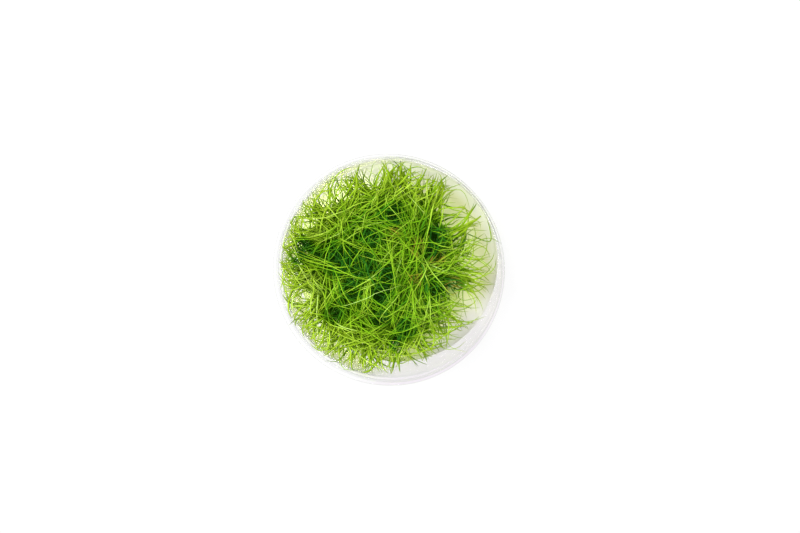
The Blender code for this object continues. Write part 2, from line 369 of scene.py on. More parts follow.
# Blades that stand out in the photograph, from where each one comes into sight to its tip
# (radius, tone, first and last height, then places as seen), in millimetres
STRAYS = (
    (0.36, 0.66, 42, 48, (-12.8, 34.3), (-22, 34.6), (-31.7, 33.6)),
    (0.22, 0.22, 42, 46, (-16.3, 38.5), (-22, 38.6), (-28.2, 37.4)),
    (0.24, 0.40, 45, 47, (-12.8, 31.5), (-19.1, 32.5)),
    (0.20, 0.30, 45, 46, (-16.3, 32.9), (-17.3, 29.7)),
    (0.24, 0.52, 40, 46, (-12.8, 38.5), (-13.1, 43.7)),
    (0.22, 0.50, 40, 46, (-10.7, 39.6), (-10.9, 43.7)),
    (0.22, 0.60, 44, 40, (-32.4, 32.2), (-29.9, 26.2)),
    (0.26, 0.20, 42, 47, (-30.0, 24.3), (-38.0, 24.1)),
    (0.24, 0.55, 42, 48, (-37.0, 20.6), (-42.5, 20.6)),
    (0.24, 0.40, 38, 47, (-40.0, 14.7), (-40.0, 20.6), (-38.3, 21.7)),
    (0.20, 0.30, 42, 48, (-34.8, 11.0), (-37.3, 14.0), (-39.8, 11.5), (-37.3, 9.0), (-35.2, 10.5)),
    (0.28, 0.72, 40, 48, (-28.2, 3.1), (-34.5, 3.5), (-44.6, 8.7)),
    (0.22, 0.60, 42, 49, (-31.7, 3.8), (-39.0, 4.9), (-43.6, 7.3)),
    (0.24, 0.70, 44, 47, (-23.3, 2.1), (-27.5, 4.2), (-37.3, 8.0)),
    (0.30, 0.68, 50, 54, (-20.9, 1.1), (-27.5, 2.0), (-34.1, 3.9), (-42.7, 7.7)),
    (0.26, 0.60, 50, 54, (-24.0, 3.0), (-31.0, 4.3), (-36.5, 5.9), (-43.8, 9.3)),
    (0.26, 0.54, 49, 53, (-18.0, -1.5), (-26.0, 0.2), (-33.5, 2.2), (-40.5, 5.5)),
    (0.22, 0.74, 51, 54, (-12.0, -3.5), (-20.0, -0.6), (-28.0, 3.4), (-36.0, 7.0), (-41.5, 9.8)),
    (0.26, 0.20, 42, 50, (-33.0, 12.8), (-37.0, 14.8), (-41.0, 12.8), (-43.4, 8.6)),
    (0.24, 0.16, 42, 48, (-32.0, 9.6), (-36.8, 8.6), (-40.6, 9.6), (-42.8, 11.6)),
    (0.20, 0.55, 47, 46, (-11.6, 34.3), (-11.6, 24.8)),
    (0.20, 0.76, 50, 48, (-20.1, 19.6), (-19.4, 12.6), (-19.1, 4.9)),
    (0.18, 0.66, 49, 50, (-9.3, 18.9), (-1.6, 13.3)),
    (0.22, 0.74, 50, 48, (-19.4, 12.9), (-10.3, 9.4), (-1.6, 9.4)),
    (0.22, 0.70, 49, 49, (-19.1, 9.8), (-12.8, 1.4)),
    (0.20, 0.66, 47, 48, (-12.1, 26.6), (0.8, 30.8)),
    (0.34, 0.16, 40, 52, (5.3, 41.0), (4.6, 44.6), (1.8, 47.6)),
    (0.30, 0.14, 40, 52, (5.6, 42.0), (5.3, 47.4)),
    (0.44, 0.30, 44, 54, (17.5, 32.5), (19.6, 34.3), (22.4, 38.1), (25.9, 41.3)),
    (0.18, 0.50, 42, 48, (24.5, 35.0), (29.4, 36.7), (32.2, 38.5)),
    (0.22, 0.62, 44, 44, (22.4, 33.2), (25.2, 34.3), (31.5, 34.6), (33.3, 32.2), (35.0, 26.6)),
    (0.20, 0.50, 46, 49, (25.9, 31.5), (27.0, 34.3)),
    (0.46, 0.42, 43, 50, (26.6, 15.7), (31.5, 19.6), (35.4, 25.2), (38.2, 29.4)),
    (0.24, 0.64, 40, 48, (44.1, 14.3), (43.8, 17.1), (42.6, 22.4)),
    (0.26, 0.45, 46, 59, (33.6, 9.8), (37.1, 12.2), (43.4, 14.3), (48.9, 11.9)),
    (0.28, 0.60, 42, 46, (36.0, 4.9), (44.8, 6.6)),
    (0.28, 0.58, 42, 46, (33.0, 17.8), (42.7, 17.5)),
    (0.26, 0.80, 52, 48, (18.9, 26.2), (17.9, 20.3), (16.8, 15.4), (15.1, 7.3), (14.4, 3.8)),
    (0.22, 0.84, 50, 50, (0.0, 28.3), (4.2, 23.4), (8.8, 17.5)),
    (0.20, 0.80, 50, 49, (0.0, 23.4), (11.6, 26.9)),
    (0.22, 0.78, 50, 50, (0.0, 12.9), (6.7, 11.2), (11.6, 7.3), (14.0, 4.9)),
    (0.26, 0.66, 44, 48, (22.8, 15.0), (29.1, 17.5), (35.0, 20.3)),
    (0.22, 0.60, 46, 46, (2.1, 32.2), (11.6, 33.2)),
    (0.22, 0.62, 44, 50, (-45.4, -0.2), (-45.8, -4.8), (-43.2, -14.2), (-42.2, -19.8)),
    (0.30, 0.40, 42, 59, (-32.4, -20.9), (-36.6, -21.6), (-40.1, -21.6), (-43.2, -24.4)),
    (0.26, 0.34, 42, 49, (-29.6, -22.6), (-33.1, -26.1), (-35.3, -29.6)),
    (0.34, 0.74, 46, 44, (-21.5, -6.5), (-25.0, -11.8), (-27.5, -15.3), (-31.3, -18.4)),
    (0.26, 0.80, 50, 46, (-7.9, -4.1), (-15.6, -8.3), (-22.6, -12.5), (-27.5, -15.3)),
    (0.26, 0.62, 40, 46, (-20.5, -30.3), (-19.4, -34.5), (-20.1, -38.0), (-22.2, -39.2), (-24.0, -37.0),
     (-24.3, -33.8)),
    (0.22, 0.50, 44, 52, (-20.0, -37.6), (-22.2, -39.6), (-28.0, -39.8)),
    (0.18, 0.55, 40, 46, (-5.0, -37.0), (-5.4, -40.4), (-7.4, -41.2), (-8.8, -39.6), (-7.2, -38.2)),
    (0.24, 0.74, 49, 47, (-7.9, -6.5), (-7.7, -11.4), (-12.1, -18.8), (-14.9, -22.6)),
    (0.20, 0.70, 49, 48, (-7.9, -11.8), (-5.1, -14.9), (-3.3, -20.5)),
    (0.22, 0.72, 47, 49, (-23.3, -14.9), (-14.2, -17.4), (-7.5, -18.4)),
    (0.20, 0.84, 48, 46, (-27.1, -16.3), (-24.3, -21.9)),
    (0.22, 0.76, 47, 49, (-8.6, -27.5), (0.8, -21.2)),
    (0.18, 0.70, 47, 48, (-8.0, -28.4), (1.4, -22.2)),
    (0.24, 0.72, 45, 47, (-15.9, -24.0), (-8.6, -25.4), (-3.3, -25.4)),
    (0.18, 0.50, 46, 50, (-19.1, -43.0), (-10.3, -42.9), (-7.9, -42.2)),
    (0.28, 0.62, 42, 46, (30.8, -8.3), (36.8, -6.2), (46.4, -5.5)),
    (0.26, 0.40, 42, 46, (32.6, -6.5), (41.3, -6.5), (43.8, -10.0)),
    (0.24, 0.62, 42, 44, (33.3, -12.5), (39.6, -10.7)),
    (0.30, 0.70, 44, 46, (27.3, -17.4), (35.0, -17.4)),
    (0.22, 0.56, 44, 44, (32.6, -15.6), (34.0, -20.9)),
    (0.24, 0.62, 42, 48, (25.9, -22.3), (36.8, -21.2), (42.4, -19.1)),
    (0.26, 0.34, 42, 46, (29.1, -20.9), (32.2, -22.6), (35.0, -25.1)),
    (0.22, 0.60, 40, 46, (22.4, -27.2), (30.8, -27.5)),
    (0.20, 0.62, 40, 46, (25.2, -30.0), (25.2, -34.2)),
    (0.20, 0.62, 40, 47, (25.2, -33.8), (29.8, -33.1), (33.6, -30.0)),
    (0.16, 0.80, 46, 58, (27.4, -33.0), (34.3, -34.9)),
    (0.30, 0.18, 38, 50, (6.7, -35.6), (10.2, -38.4), (13.3, -41.5)),
    (0.34, 0.22, 38, 48, (7.0, -35.2), (11.6, -38.4), (17.2, -40.8)),
    (0.24, 0.30, 40, 46, (8.8, -33.5), (9.8, -37.3)),
    (0.24, 0.56, 40, 46, (15.4, -33.8), (18.6, -36.6)),
    (0.42, 0.20, 38, 50, (7.0, -32.4), (3.2, -38.0), (2.1, -43.6)),
    (0.28, 0.84, 50, 48, (15.8, -0.9), (11.9, -7.9), (8.4, -13.5)),
    (0.26, 0.80, 48, 50, (0.0, -19.8), (7.0, -15.3), (13.3, -11.8)),
    (0.20, 0.80, 48, 49, (0.0, -21.6), (4.2, -17.7)),
    (0.24, 0.76, 48, 49, (14.0, -15.6), (19.6, -14.2), (26.6, -11.1)),
    (0.24, 0.74, 42, 48, (6.7, -35.6), (10.5, -30.7), (14.0, -26.8)),
    (0.22, 0.70, 45, 47, (18.9, -18.4), (25.9, -17.0)),
)
STRAY_BOLDNESS = 1.5
STRAY_BACK = 0.005
STRAY_DROP = 0.008
STRAY_TO_FOOT = 0.2
STRAY_LIT = (0.018, 0.038)
STRAY_FOOT_TONE = 0.4
STRAY_TONE_RISE = 0.48
STRAY_FLATNESS = 0.7
STRAY_RINGS = 22
STRAY_SIDES = 6


# What brings a height and a squared distance from the axis to about 0 to 1
PER_HEIGHT = 16.0
PER_SQUARE = 400.0


# Shader expressions


class Value:
    """A shader socket that +, - and * work on. Each of them adds a Math node."""

    def __init__(self, finish, socket):
        self.finish = finish
        self.socket = socket

    def _maths(self, operation, first, second):
        made = self.finish.node("ShaderNodeMath", {"operation": operation}, {0: first, 1: second})
        return made.out()

    def __add__(self, other):
        return self._maths("ADD", self, other)

    def __mul__(self, other):
        return self._maths("MULTIPLY", self, other)

    def __sub__(self, other):
        return self._maths("SUBTRACT", self, other)


class Node:
    """A shader node, whose outputs are read as values."""

    def __init__(self, finish, node):
        self.finish = finish
        self.node = node

    def out(self, name=0):
        return Value(self.finish, self.node.outputs[name])


class Finish:
    """A material that is written as expressions."""

    def __init__(self, name):
        self.material = bpy.data.materials.new(name)
        self.material.use_nodes = True
        self.tree = self.material.node_tree
        self.tree.nodes.clear()

    def node(self, kind, settings=None, sockets=None):
        """One node: first its settings, with a ramp's stops, and then its sockets' values or links."""
        made = self.tree.nodes.new(kind)
        for name, value in (settings or {}).items():
            if name == "stops":
                self._stops(made.color_ramp, value)
            else:
                setattr(made, name, value)
        for name, value in (sockets or {}).items():
            self.feed(made.inputs[name], value)
        return Node(self, made)

    def feed(self, socket, value):
        if isinstance(value, Value):
            self.tree.links.new(value.socket, socket)
        else:
            socket.default_value = value

    @staticmethod
    def _stops(ramp, stops):
        while len(ramp.elements) < len(stops):
            ramp.elements.new(0.5)
        for element, (place, colour) in zip(ramp.elements, stops):
            element.position = place
            element.color = (*colour, 1.0)

    def ramp(self, value, stops):
        return self.node("ShaderNodeValToRGB", {"stops": stops}, {"Fac": value}).out("Color")

    def fade(self, value, low, high, first=0.0, last=1.0):
        """A share that runs from first to last between two values."""
        return self.ramp(value, ((low, (first,) * 3), (high, (last,) * 3)))

    def mix(self, factor, first, second, blend="MIX"):
        """Two colours mixed."""
        settings = {"data_type": "RGBA", "blend_type": blend}
        made = self.node("ShaderNodeMix", settings, {0: factor, 6: first, 7: second})
        return made.out(2)

    def noise(self, vector, scale, detail, roughness=0.5):
        sockets = {"Vector": vector, "Scale": scale, "Detail": detail, "Roughness": roughness}
        return self.node("ShaderNodeTexNoise", {}, sockets).out(0)

    def place(self):
        return self.node("ShaderNodeTexCoord").out("Object")

    def attribute(self, name):
        return self.node("ShaderNodeAttribute", {"attribute_name": name}).out("Fac")

    def bump(self, height, strength, distance):
        sockets = {"Height": height, "Strength": strength, "Distance": distance}
        return self.node("ShaderNodeBump", {}, sockets).out()

    def surface(self, shader):
        self.node("ShaderNodeOutputMaterial", {}, {"Surface": shader})
        return self.material

    def lets_lamps_through(self, shader, tint):
        """The shader, but clear to the rays that ask how much light arrives."""
        shadow = self.node("ShaderNodeLightPath").out("Is Shadow Ray")
        clear = self.node("ShaderNodeBsdfTransparent", {}, {"Color": (*tint, 1.0)}).out()
        return self.node("ShaderNodeMixShader", {}, {0: shadow, 1: shader, 2: clear}).out()


# Finishes


def clear_plastic():
    """Clear moulded plastic with a faint haze in patches, with painted shade on its bare side and its
    rim, and the green light of the blades painted where they lean on it.
    """
    finish = Finish("clear_plastic")
    place = finish.place()
    haze = finish.noise(place, 60.0, 3.0)
    axes = finish.node("ShaderNodeSeparateXYZ", {}, {0: place})
    x, y = axes.out("X"), axes.out("Y")
    level = axes.out("Z") * PER_HEIGHT
    # Where blades lean on the wall, whose green light is painted there
    leaning = finish.ramp(
        level + haze * 0.16,
        (
            (0.32, (0.0, 0.0, 0.0)),
            (0.44, (1.0, 1.0, 1.0)),
            (0.78, (0.8, 0.8, 0.8)),
            (0.87, (0.0, 0.0, 0.0)),
        ),
    )
    # All but the bare side, where painted shade darkens the wall, then the upper right, the top of the
    # rim and the rim's outer edge, where grey shade is painted
    unshaded_side = finish.fade((y - x) * 10.0 + 0.5, 0.0, 0.2)
    far = finish.fade((x + y) * 8.0 + 0.3, 0.3, 0.6)
    rim = finish.fade(level, 0.865, 0.885)
    edge = finish.fade((x * x + y * y) * PER_SQUARE, 0.985, 0.992)
    # Painted green light of the leaning blades, on all but the bare side
    blade_green_light = leaning * unshaded_side
    # Painted shade: the wall is lilac grey on its bare side
    clear = finish.mix(unshaded_side, (0.74, 0.60, 0.76, 1.0), (0.985, 0.98, 0.99, 1.0))
    # Painted grey shade on the top of the rim and darker grey shade on its outer edge, most on the upper
    # right
    clear = finish.mix(rim * (far * 0.7 + 0.3), clear, (0.84, 0.84, 0.84, 1.0))
    clear = finish.mix(edge * (far * 0.6 + 0.4), clear, (0.62, 0.62, 0.64, 1.0))
    shader = finish.node(
        "ShaderNodeBsdfPrincipled",
        {},
        {
            "Base Color": finish.mix(blade_green_light, clear, (0.60, 0.72, 0.07, 1.0)),
            "Roughness": haze * 0.06 + 0.18,
            "IOR": 1.10,
            "Transmission Weight": 1.0,
            "Alpha": blade_green_light * 0.56 + 0.22 - unshaded_side * 0.10 + rim * 0.3,
        },
    ).out()
    return finish.surface(finish.lets_lamps_through(shader, (0.97, 0.97, 0.98)))


def nutrient_gel():
    """Milky jelly with a wet, slightly uneven top, on which shade under the grass, the grass's
    yellow-green light around it and shade towards the top are painted.
    """
    finish = Finish("nutrient_gel")
    place = finish.place()
    cloud = finish.noise(place, 90.0, 4.0, 0.6)
    waves = finish.noise(place, 160.0, 2.0)
    axes = finish.node("ShaderNodeSeparateXYZ", {}, {0: place})
    x, y = axes.out("X"), axes.out("Y")
    outward = (x * x + y * y) * PER_SQUARE
    # Painted shade under the mass of grass, then painted yellow-green light from the blades around it,
    # paler outward
    painted_light_and_shade = finish.ramp(
        outward + (x + y) * 3.2 + cloud * 0.10,
        (
            (0.32, (0.12, 0.24, 0.03)),
            (0.43, (0.60, 0.74, 0.20)),
            (0.53, (0.78, 0.84, 0.42)),
            (0.67, (0.72, 0.77, 0.42)),
            (0.82, (0.60, 0.62, 0.36)),
            (0.96, (0.60, 0.61, 0.50)),
        ),
    )
    # Painted green light from the blades on the lower left
    lower_left = finish.fade((x + y) * 10.0 + 0.5, 0.10, 0.45, 1.0, 0.0)
    painted_light_and_shade = finish.mix(lower_left, painted_light_and_shade, (0.55, 0.66, 0.20, 1.0))
    # Painted shade towards the top
    upper = finish.fade(y * 10.0 + 0.5, 0.80, 0.90)
    painted_light_and_shade = finish.mix(upper, painted_light_and_shade, (0.47, 0.48, 0.38, 1.0))
    bare = finish.fade((x - y) * 12.0 + cloud * 0.2, 0.68, 0.86)
    tint = finish.mix(bare, painted_light_and_shade, (0.80, 0.79, 0.82, 1.0))
    # The round side, below the surface
    side = finish.fade(outward, 0.70, 0.75) * finish.fade(axes.out("Z") * 40.0, 0.54, 0.60, 1.0, 0.0)
    tint = finish.mix(side, tint, (0.70, 0.75, 0.52, 1.0))
    shader = finish.node(
        "ShaderNodeBsdfPrincipled",
        {},
        {
            "Base Color": tint,
            "Roughness": 0.65,
            "IOR": 1.20,
            "Transmission Weight": 0.72,
            "Normal": finish.bump(waves, 0.25, 0.001),
        },
    ).out()
    return finish.surface(finish.lets_lamps_through(shader, (0.95, 0.96, 0.90)))


def grass_blade():
    """Living blades, whose tone runs from a painted deep green of the shade to a painted backlit
    yellow-green, with painted sunlight mixed in.
    """
    finish = Finish("grass_blade")
    along = finish.node(
        "ShaderNodeSeparateXYZ", {}, {0: finish.node("ShaderNodeUVMap", {"uv_map": "blade"}).out()}
    ).out("Y")
    tone = finish.attribute("tone")
    mottle = finish.noise(finish.place(), 700.0, 2.0)
    mottled = tone + mottle * 0.24 - 0.12
    green = finish.ramp(
        mottled,
        (
            (0.00, (0.008, 0.066, 0.005)),
            (0.22, (0.040, 0.158, 0.004)),
            (0.45, (0.120, 0.283, 0.005)),
            (0.65, (0.222, 0.384, 0.016)),
            (0.85, (0.326, 0.506, 0.062)),
            (1.00, (0.480, 0.720, 0.200)),
        ),
    )
    # Painted sunlight: a lighter ramp, mixed in by the sun attribute
    sunlit = finish.ramp(
        mottled,
        (
            (0.00, (0.036, 0.108, 0.003)),
            (0.22, (0.090, 0.190, 0.004)),
            (0.45, (0.195, 0.328, 0.008)),
            (0.65, (0.330, 0.480, 0.030)),
            (0.85, (0.490, 0.655, 0.090)),
            (1.00, (0.660, 0.810, 0.280)),
        ),
    )
    green = finish.mix(finish.attribute("sun"), green, sunlit)
    sheath = finish.fade(along, 0.0, 0.08, 1.0, 0.0)
    tip = finish.fade(along, 0.76, 1.0)
    living = finish.mix(sheath, green, (0.26, 0.38, 0.08, 1.0))
    living = finish.mix(tip, living, (0.58, 0.50, 0.30, 1.0), "MULTIPLY")
    old = finish.ramp(
        along,
        ((0.0, (0.24, 0.22, 0.05)), (0.5, (0.20, 0.17, 0.02)), (1.0, (0.25, 0.17, 0.02))),
    )
    colour = finish.mix(finish.attribute("age"), living, old)
    skin = finish.node(
        "ShaderNodeBsdfPrincipled",
        {},
        {
            "Base Color": colour,
            "Roughness": mottle * 0.2 + 0.32,
            "IOR": 1.42,
            "Specular IOR Level": 0.05,
            # A faint painted green glow, which lifts the darkest blades
            "Emission Color": (0.004, 0.015, 0.0005, 1.0),
            "Emission Strength": 1.0,
        },
    ).out()
    glow = finish.node("ShaderNodeBsdfTranslucent", {}, {"Color": (0.50, 0.68, 0.02, 1.0)}).out()
    shine = tone * 0.42 + 0.08
    return finish.surface(finish.node("ShaderNodeMixShader", {}, {0: shine, 1: skin, 2: glow}).out())


def pale_floor():
    """White paper that is bright all over, as on a light table."""
    finish = Finish("pale_floor")
    shader = finish.node(
        "ShaderNodeBsdfPrincipled",
        {},
        {
            "Base Color": (0.04, 0.04, 0.04, 1.0),
            "Roughness": 0.9,
            "Emission Color": (1.0, 1.0, 1.0, 1.0),
            "Emission Strength": 0.87,
        },
    ).out()
    return finish.surface(shader)


# Camera, floor and light


def camera_direction():
    """From the cup to the camera, which leans to the upper right."""
    return Vector(
        (
            math.sin(CAMERA_TILT) * math.cos(CAMERA_SIDE),
            math.sin(CAMERA_TILT) * math.sin(CAMERA_SIDE),
            math.cos(CAMERA_TILT),
        )
    )


def make_camera():
    """The photograph's camera, almost straight above."""
    metres_per_pixel = RIM_RADIUS / RIM_RADIUS_PIXELS
    back = camera_direction()
    right = Vector((0.0, 1.0, 0.0)).cross(back).normalized()
    up = back.cross(right)
    data = bpy.data.cameras.new("camera")
    data.sensor_width = SENSOR_WIDTH
    data.lens = SENSOR_WIDTH * CAMERA_DISTANCE / (PHOTO_SIZE[0] * metres_per_pixel)
    data.clip_start = CLIP_START
    camera = bpy.data.objects.new("camera", data)
    aim = Vector((0.0, 0.0, CUP_HEIGHT))
    aim += right * (PHOTO_SIZE[0] / 2 - RIM_CENTRE_PIXEL[0]) * metres_per_pixel
    aim -= up * (PHOTO_SIZE[1] / 2 - RIM_CENTRE_PIXEL[1]) * metres_per_pixel
    turn = Matrix((right, up, back)).transposed().to_4x4()
    camera.matrix_world = Matrix.Translation(aim + back * CAMERA_DISTANCE) @ turn
    bpy.context.scene.collection.objects.link(camera)
    bpy.context.scene.camera = camera


def make_stage():
    bpy.ops.mesh.primitive_plane_add(size=FLOOR_SIZE, location=(0.0, 0.0, -FLOOR_DROP))
    floor = bpy.context.object
    floor.name = "floor"
    floor.data.materials.append(pale_floor())
    world = bpy.data.worlds.new("studio")
    world.use_nodes = True
    background = world.node_tree.nodes["Background"]
    background.inputs["Color"].default_value = (1.0, 1.0, 1.0, 1.0)
    background.inputs["Strength"].default_value = SKY_STRENGTH
    bpy.context.scene.world = world
    bpy.context.scene.view_settings.view_transform = "Standard"
    softbox = bpy.data.lights.new("softbox", "AREA")
    softbox.shape = "DISK"
    softbox.size = SOFTBOX_SIZE
    softbox.energy = SOFTBOX_ENERGY
    lamp = bpy.data.objects.new("softbox", softbox)
    lamp.location = SOFTBOX_PLACE
    lamp.rotation_mode = "QUATERNION"
    lamp.rotation_quaternion = (SOFTBOX_PLACE - SOFTBOX_AIM).to_track_quat("Z", "Y")
    bpy.context.scene.collection.objects.link(lamp)


# Turned pieces


def inner_radius(z):
    """The radius of the cup's inner wall at height z, a number or an array."""
    at_wall = RIM_RADIUS - RIM_WIDTH - (CUP_HEIGHT - z) * DRAFT
    return at_wall - SHOULDER_STEP * np.clip((SHOULDER_TOP - z) / SHOULDER_DROP, 0.0, 1.0)


def outer_radius(z):
    return inner_radius(z) + WALL


def turn_profile(name, profile, segments):
    """Draws a profile point by point from the axis, rounds its corners and spins it about Z."""
    bpy.ops.mesh.primitive_plane_add(size=0.001, location=(profile[0][0], 0.0, profile[0][1]))
    piece = bpy.context.object
    piece.name = name
    bpy.ops.object.transform_apply(location=True, rotation=True, scale=True)
    bpy.ops.object.mode_set(mode="EDIT")
    bpy.ops.mesh.merge(type="CENTER")
    for (r0, z0), (r1, z1) in zip(profile, profile[1:]):
        bpy.ops.mesh.extrude_region_move(
            TRANSFORM_OT_translate={"value": (r1 - r0, 0.0, z1 - z0)}
        )
    bpy.ops.mesh.select_all(action="SELECT")
    bpy.ops.mesh.bevel(
        affect="VERTICES", offset=CORNER_ROUNDING, segments=CORNER_STEPS, clamp_overlap=True
    )
    bpy.ops.mesh.select_all(action="SELECT")
    bpy.ops.mesh.spin(
        steps=segments, angle=math.tau, center=(0.0, 0.0, 0.0), axis=(0.0, 0.0, 1.0)
    )
    bpy.ops.mesh.select_all(action="SELECT")
    bpy.ops.mesh.remove_doubles(threshold=MERGE_DISTANCE)
    bpy.ops.mesh.normals_make_consistent(inside=False)
    bpy.ops.object.mode_set(mode="OBJECT")
    bpy.ops.object.shade_smooth_by_angle(angle=SMOOTH_ANGLE)
    piece.select_set(False)
    return piece


def make_cup():
    foot = float(outer_radius(FOOT_CORNER)) - FOOT_CORNER
    floor_top = FLOOR_LIFT + FLOOR
    shoulder_foot = SHOULDER_TOP - SHOULDER_DROP
    under_rim = CUP_HEIGHT - RIM_DEPTH
    mouth = RIM_RADIUS - RIM_WIDTH
    profile = [
        (0.0, FLOOR_LIFT),
        (foot - FOOT_WIDTH - FLOOR_LIFT, FLOOR_LIFT),
        (foot - FOOT_WIDTH, 0.0),
        (foot, 0.0),
        (foot + FOOT_CORNER - FOOT_CHAMFER, FOOT_CHAMFER),
        (outer_radius(FOOT_CORNER), FOOT_CORNER),
        (outer_radius(shoulder_foot), shoulder_foot),
        (outer_radius(SHOULDER_TOP), SHOULDER_TOP),
        (outer_radius(under_rim), under_rim),
        (RIM_RADIUS, under_rim + RIM_EDGE),
        (RIM_RADIUS, CUP_HEIGHT),
        (mouth, CUP_HEIGHT),
        (inner_radius(SHOULDER_TOP), SHOULDER_TOP),
        (inner_radius(shoulder_foot), shoulder_foot),
        (inner_radius(floor_top + FOOT_CORNER - WALL), floor_top + FOOT_CORNER - WALL),
        (inner_radius(floor_top) - FOOT_CORNER + WALL, floor_top),
        (0.0, floor_top),
    ]
    profile = [(float(r), float(z)) for r, z in profile]
    cup = turn_profile("culture_cup", profile, CUP_SEGMENTS)
    cup.data.materials.append(clear_plastic())
    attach(cup, "root")
    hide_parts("cup")


def make_gel():
    bottom = FLOOR_LIFT + FLOOR - GEL_IN_WALL
    corner = FOOT_CORNER - WALL
    edge = GEL_SURFACE + MENISCUS_RISE
    rim = float(inner_radius(edge)) + GEL_IN_WALL
    profile = [
        (0.0, bottom),
        (float(inner_radius(bottom)) - corner, bottom),
        (float(inner_radius(bottom + corner)) + GEL_IN_WALL, bottom + corner),
        (rim, edge),
        (rim - MENISCUS_WIDTH * MENISCUS_BEND[0], GEL_SURFACE + MENISCUS_RISE * MENISCUS_BEND[1]),
        (rim - MENISCUS_WIDTH, GEL_SURFACE),
        (0.0, GEL_SURFACE),
    ]
    gel = turn_profile("gel_disc", profile, GEL_SEGMENTS)
    gel.data.materials.append(nutrient_gel())
    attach(gel, "root")
    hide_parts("gel")


# Threads: closed, pointed tubes, which the blades are made of


def unit(vectors):
    return vectors / np.maximum(np.linalg.norm(vectors, axis=-1, keepdims=True), TINY)


def smooth_step(values, low, high):
    share = np.clip((values - low) / (high - low), 0.0, 1.0)
    return share * share * (3.0 - 2.0 * share)


def taper(along):
    return (1.0 - NARROWING * along) * np.sqrt(1.0 - along**BLUNTNESS)


def tube_points(paths, radii, flatness, sides):
    """The points of each tube: a ring at every point of its path but the last, and then its tip."""
    count, rings = paths.shape[:2]
    run = unit(np.gradient(paths, axis=1))
    side = unit(np.cross(run[:, 0], ACROSS))
    angles = np.arange(sides) / sides * math.tau
    rows = []
    for ring in range(rings - 1):
        side = unit(side - run[:, ring] * (side * run[:, ring]).sum(axis=1, keepdims=True))
        other = np.cross(run[:, ring], side)
        size = (radii * taper(ring / (rings - 1)))[:, None, None]
        rows.append(
            paths[:, ring, None]
            + size * np.cos(angles)[None, :, None] * side[:, None]
            + size * (np.sin(angles)[None, :] * flatness[:, None])[..., None] * other[:, None]
        )
    skin = np.stack(rows, axis=1).reshape(count, -1, 3)
    return np.concatenate([skin, paths[:, -1:]], axis=1)


def tube_faces(rings, sides):
    """One tube's face corners, face sizes and the place of each corner on the "blade" map."""
    ring, turn = (grid.ravel() for grid in np.meshgrid(np.arange(rings - 2), np.arange(sides)))
    after = (turn + 1) % sides
    low, high = ring * sides, (ring + 1) * sides
    quads = np.stack([low + turn, low + after, high + after, high + turn], axis=-1)
    quad_u = np.stack([turn, turn + 1, turn + 1, turn], axis=-1)
    quad_v = np.stack([ring, ring, ring + 1, ring + 1], axis=-1)
    turn = np.arange(sides)
    last = (rings - 2) * sides
    tip = np.full(sides, (rings - 1) * sides)
    tips = np.stack([last + turn, last + (turn + 1) % sides, tip], axis=-1)
    tip_u = np.stack([turn, turn + 1, turn + 0.5], axis=-1)
    tip_v = np.tile([rings - 2, rings - 2, rings - 1], (sides, 1))
    foot = turn[::-1]
    corners = np.concatenate([quads.ravel(), tips.ravel(), foot])
    sizes = np.concatenate([np.full(len(quads), 4), np.full(sides, 3), [sides]])
    map_u = np.concatenate([quad_u.ravel(), tip_u.ravel(), foot]) / sides
    map_v = np.concatenate([quad_v.ravel(), tip_v.ravel(), np.zeros(sides)]) / (rings - 1)
    return corners, sizes, np.stack([map_u, map_v], axis=-1)


LOOKS = ("tone", "sun", "age")


class Threads:
    """Many threads, gathered as arrays and built as one mesh."""

    def __init__(self):
        self.point_count = 0
        self.parts = {name: [] for name in ("point", "corner", "size", "map", *LOOKS)}

    def add(self, paths, radii, flatness, looks, sides):
        """Tubes along paths. Each look has a value for each point of each path."""
        count, rings = paths.shape[:2]
        points = tube_points(paths, radii, flatness, sides)
        corners, sizes, on_map = tube_faces(rings, sides)
        starts = self.point_count + np.arange(count) * points.shape[1]
        made = {
            "point": points.reshape(-1, 3),
            "corner": (corners[None, :] + starts[:, None]).ravel(),
            "size": np.tile(sizes, count),
            "map": np.tile(on_map, (count, 1)),
        }
        for name in LOOKS:
            values = np.broadcast_to(looks[name], (count, rings))
            skin = np.repeat(values[:, :-1], sides, axis=1)
            made[name] = np.concatenate([skin, values[:, -1:]], axis=1).ravel()
        for name, values in made.items():
            self.parts[name].append(values)
        self.point_count += count * points.shape[1]

    def build(self, name, material):
        whole = {part: np.concatenate(values) for part, values in self.parts.items()}
        starts = np.concatenate([[0], np.cumsum(whole["size"])[:-1]])
        mesh = bpy.data.meshes.new(name)
        mesh.vertices.add(self.point_count)
        mesh.vertices.foreach_set("co", whole["point"].ravel().astype(np.float32))
        mesh.loops.add(len(whole["corner"]))
        mesh.loops.foreach_set("vertex_index", whole["corner"].astype(np.int32))
        mesh.polygons.add(len(starts))
        mesh.polygons.foreach_set("loop_start", starts.astype(np.int32))
        layer = mesh.uv_layers.new(name="blade")
        layer.data.foreach_set("uv", whole["map"].ravel().astype(np.float32))
        for label in LOOKS:
            attribute = mesh.attributes.new(label, "FLOAT", "POINT")
            attribute.data.foreach_set("value", whole[label].astype(np.float32))
        mesh.update(calc_edges=True)
        mesh.shade_smooth()
        mesh.materials.append(material)
        piece = bpy.data.objects.new(name, mesh)
        bpy.context.scene.collection.objects.link(piece)
        return piece


# Where the photograph's camera sees things


def camera_eye():
    return np.array(camera_direction()) * CAMERA_DISTANCE + np.array((0.0, 0.0, CUP_HEIGHT))


def as_seen(points):
    """Where the photograph's camera sees points, as places (x, y) at the height of the rim."""
    eye = camera_eye()
    share = (eye[2] - CUP_HEIGHT) / (eye[2] - points[..., 2])
    return eye[:2] + (points[..., :2] - eye[:2]) * share[..., None]


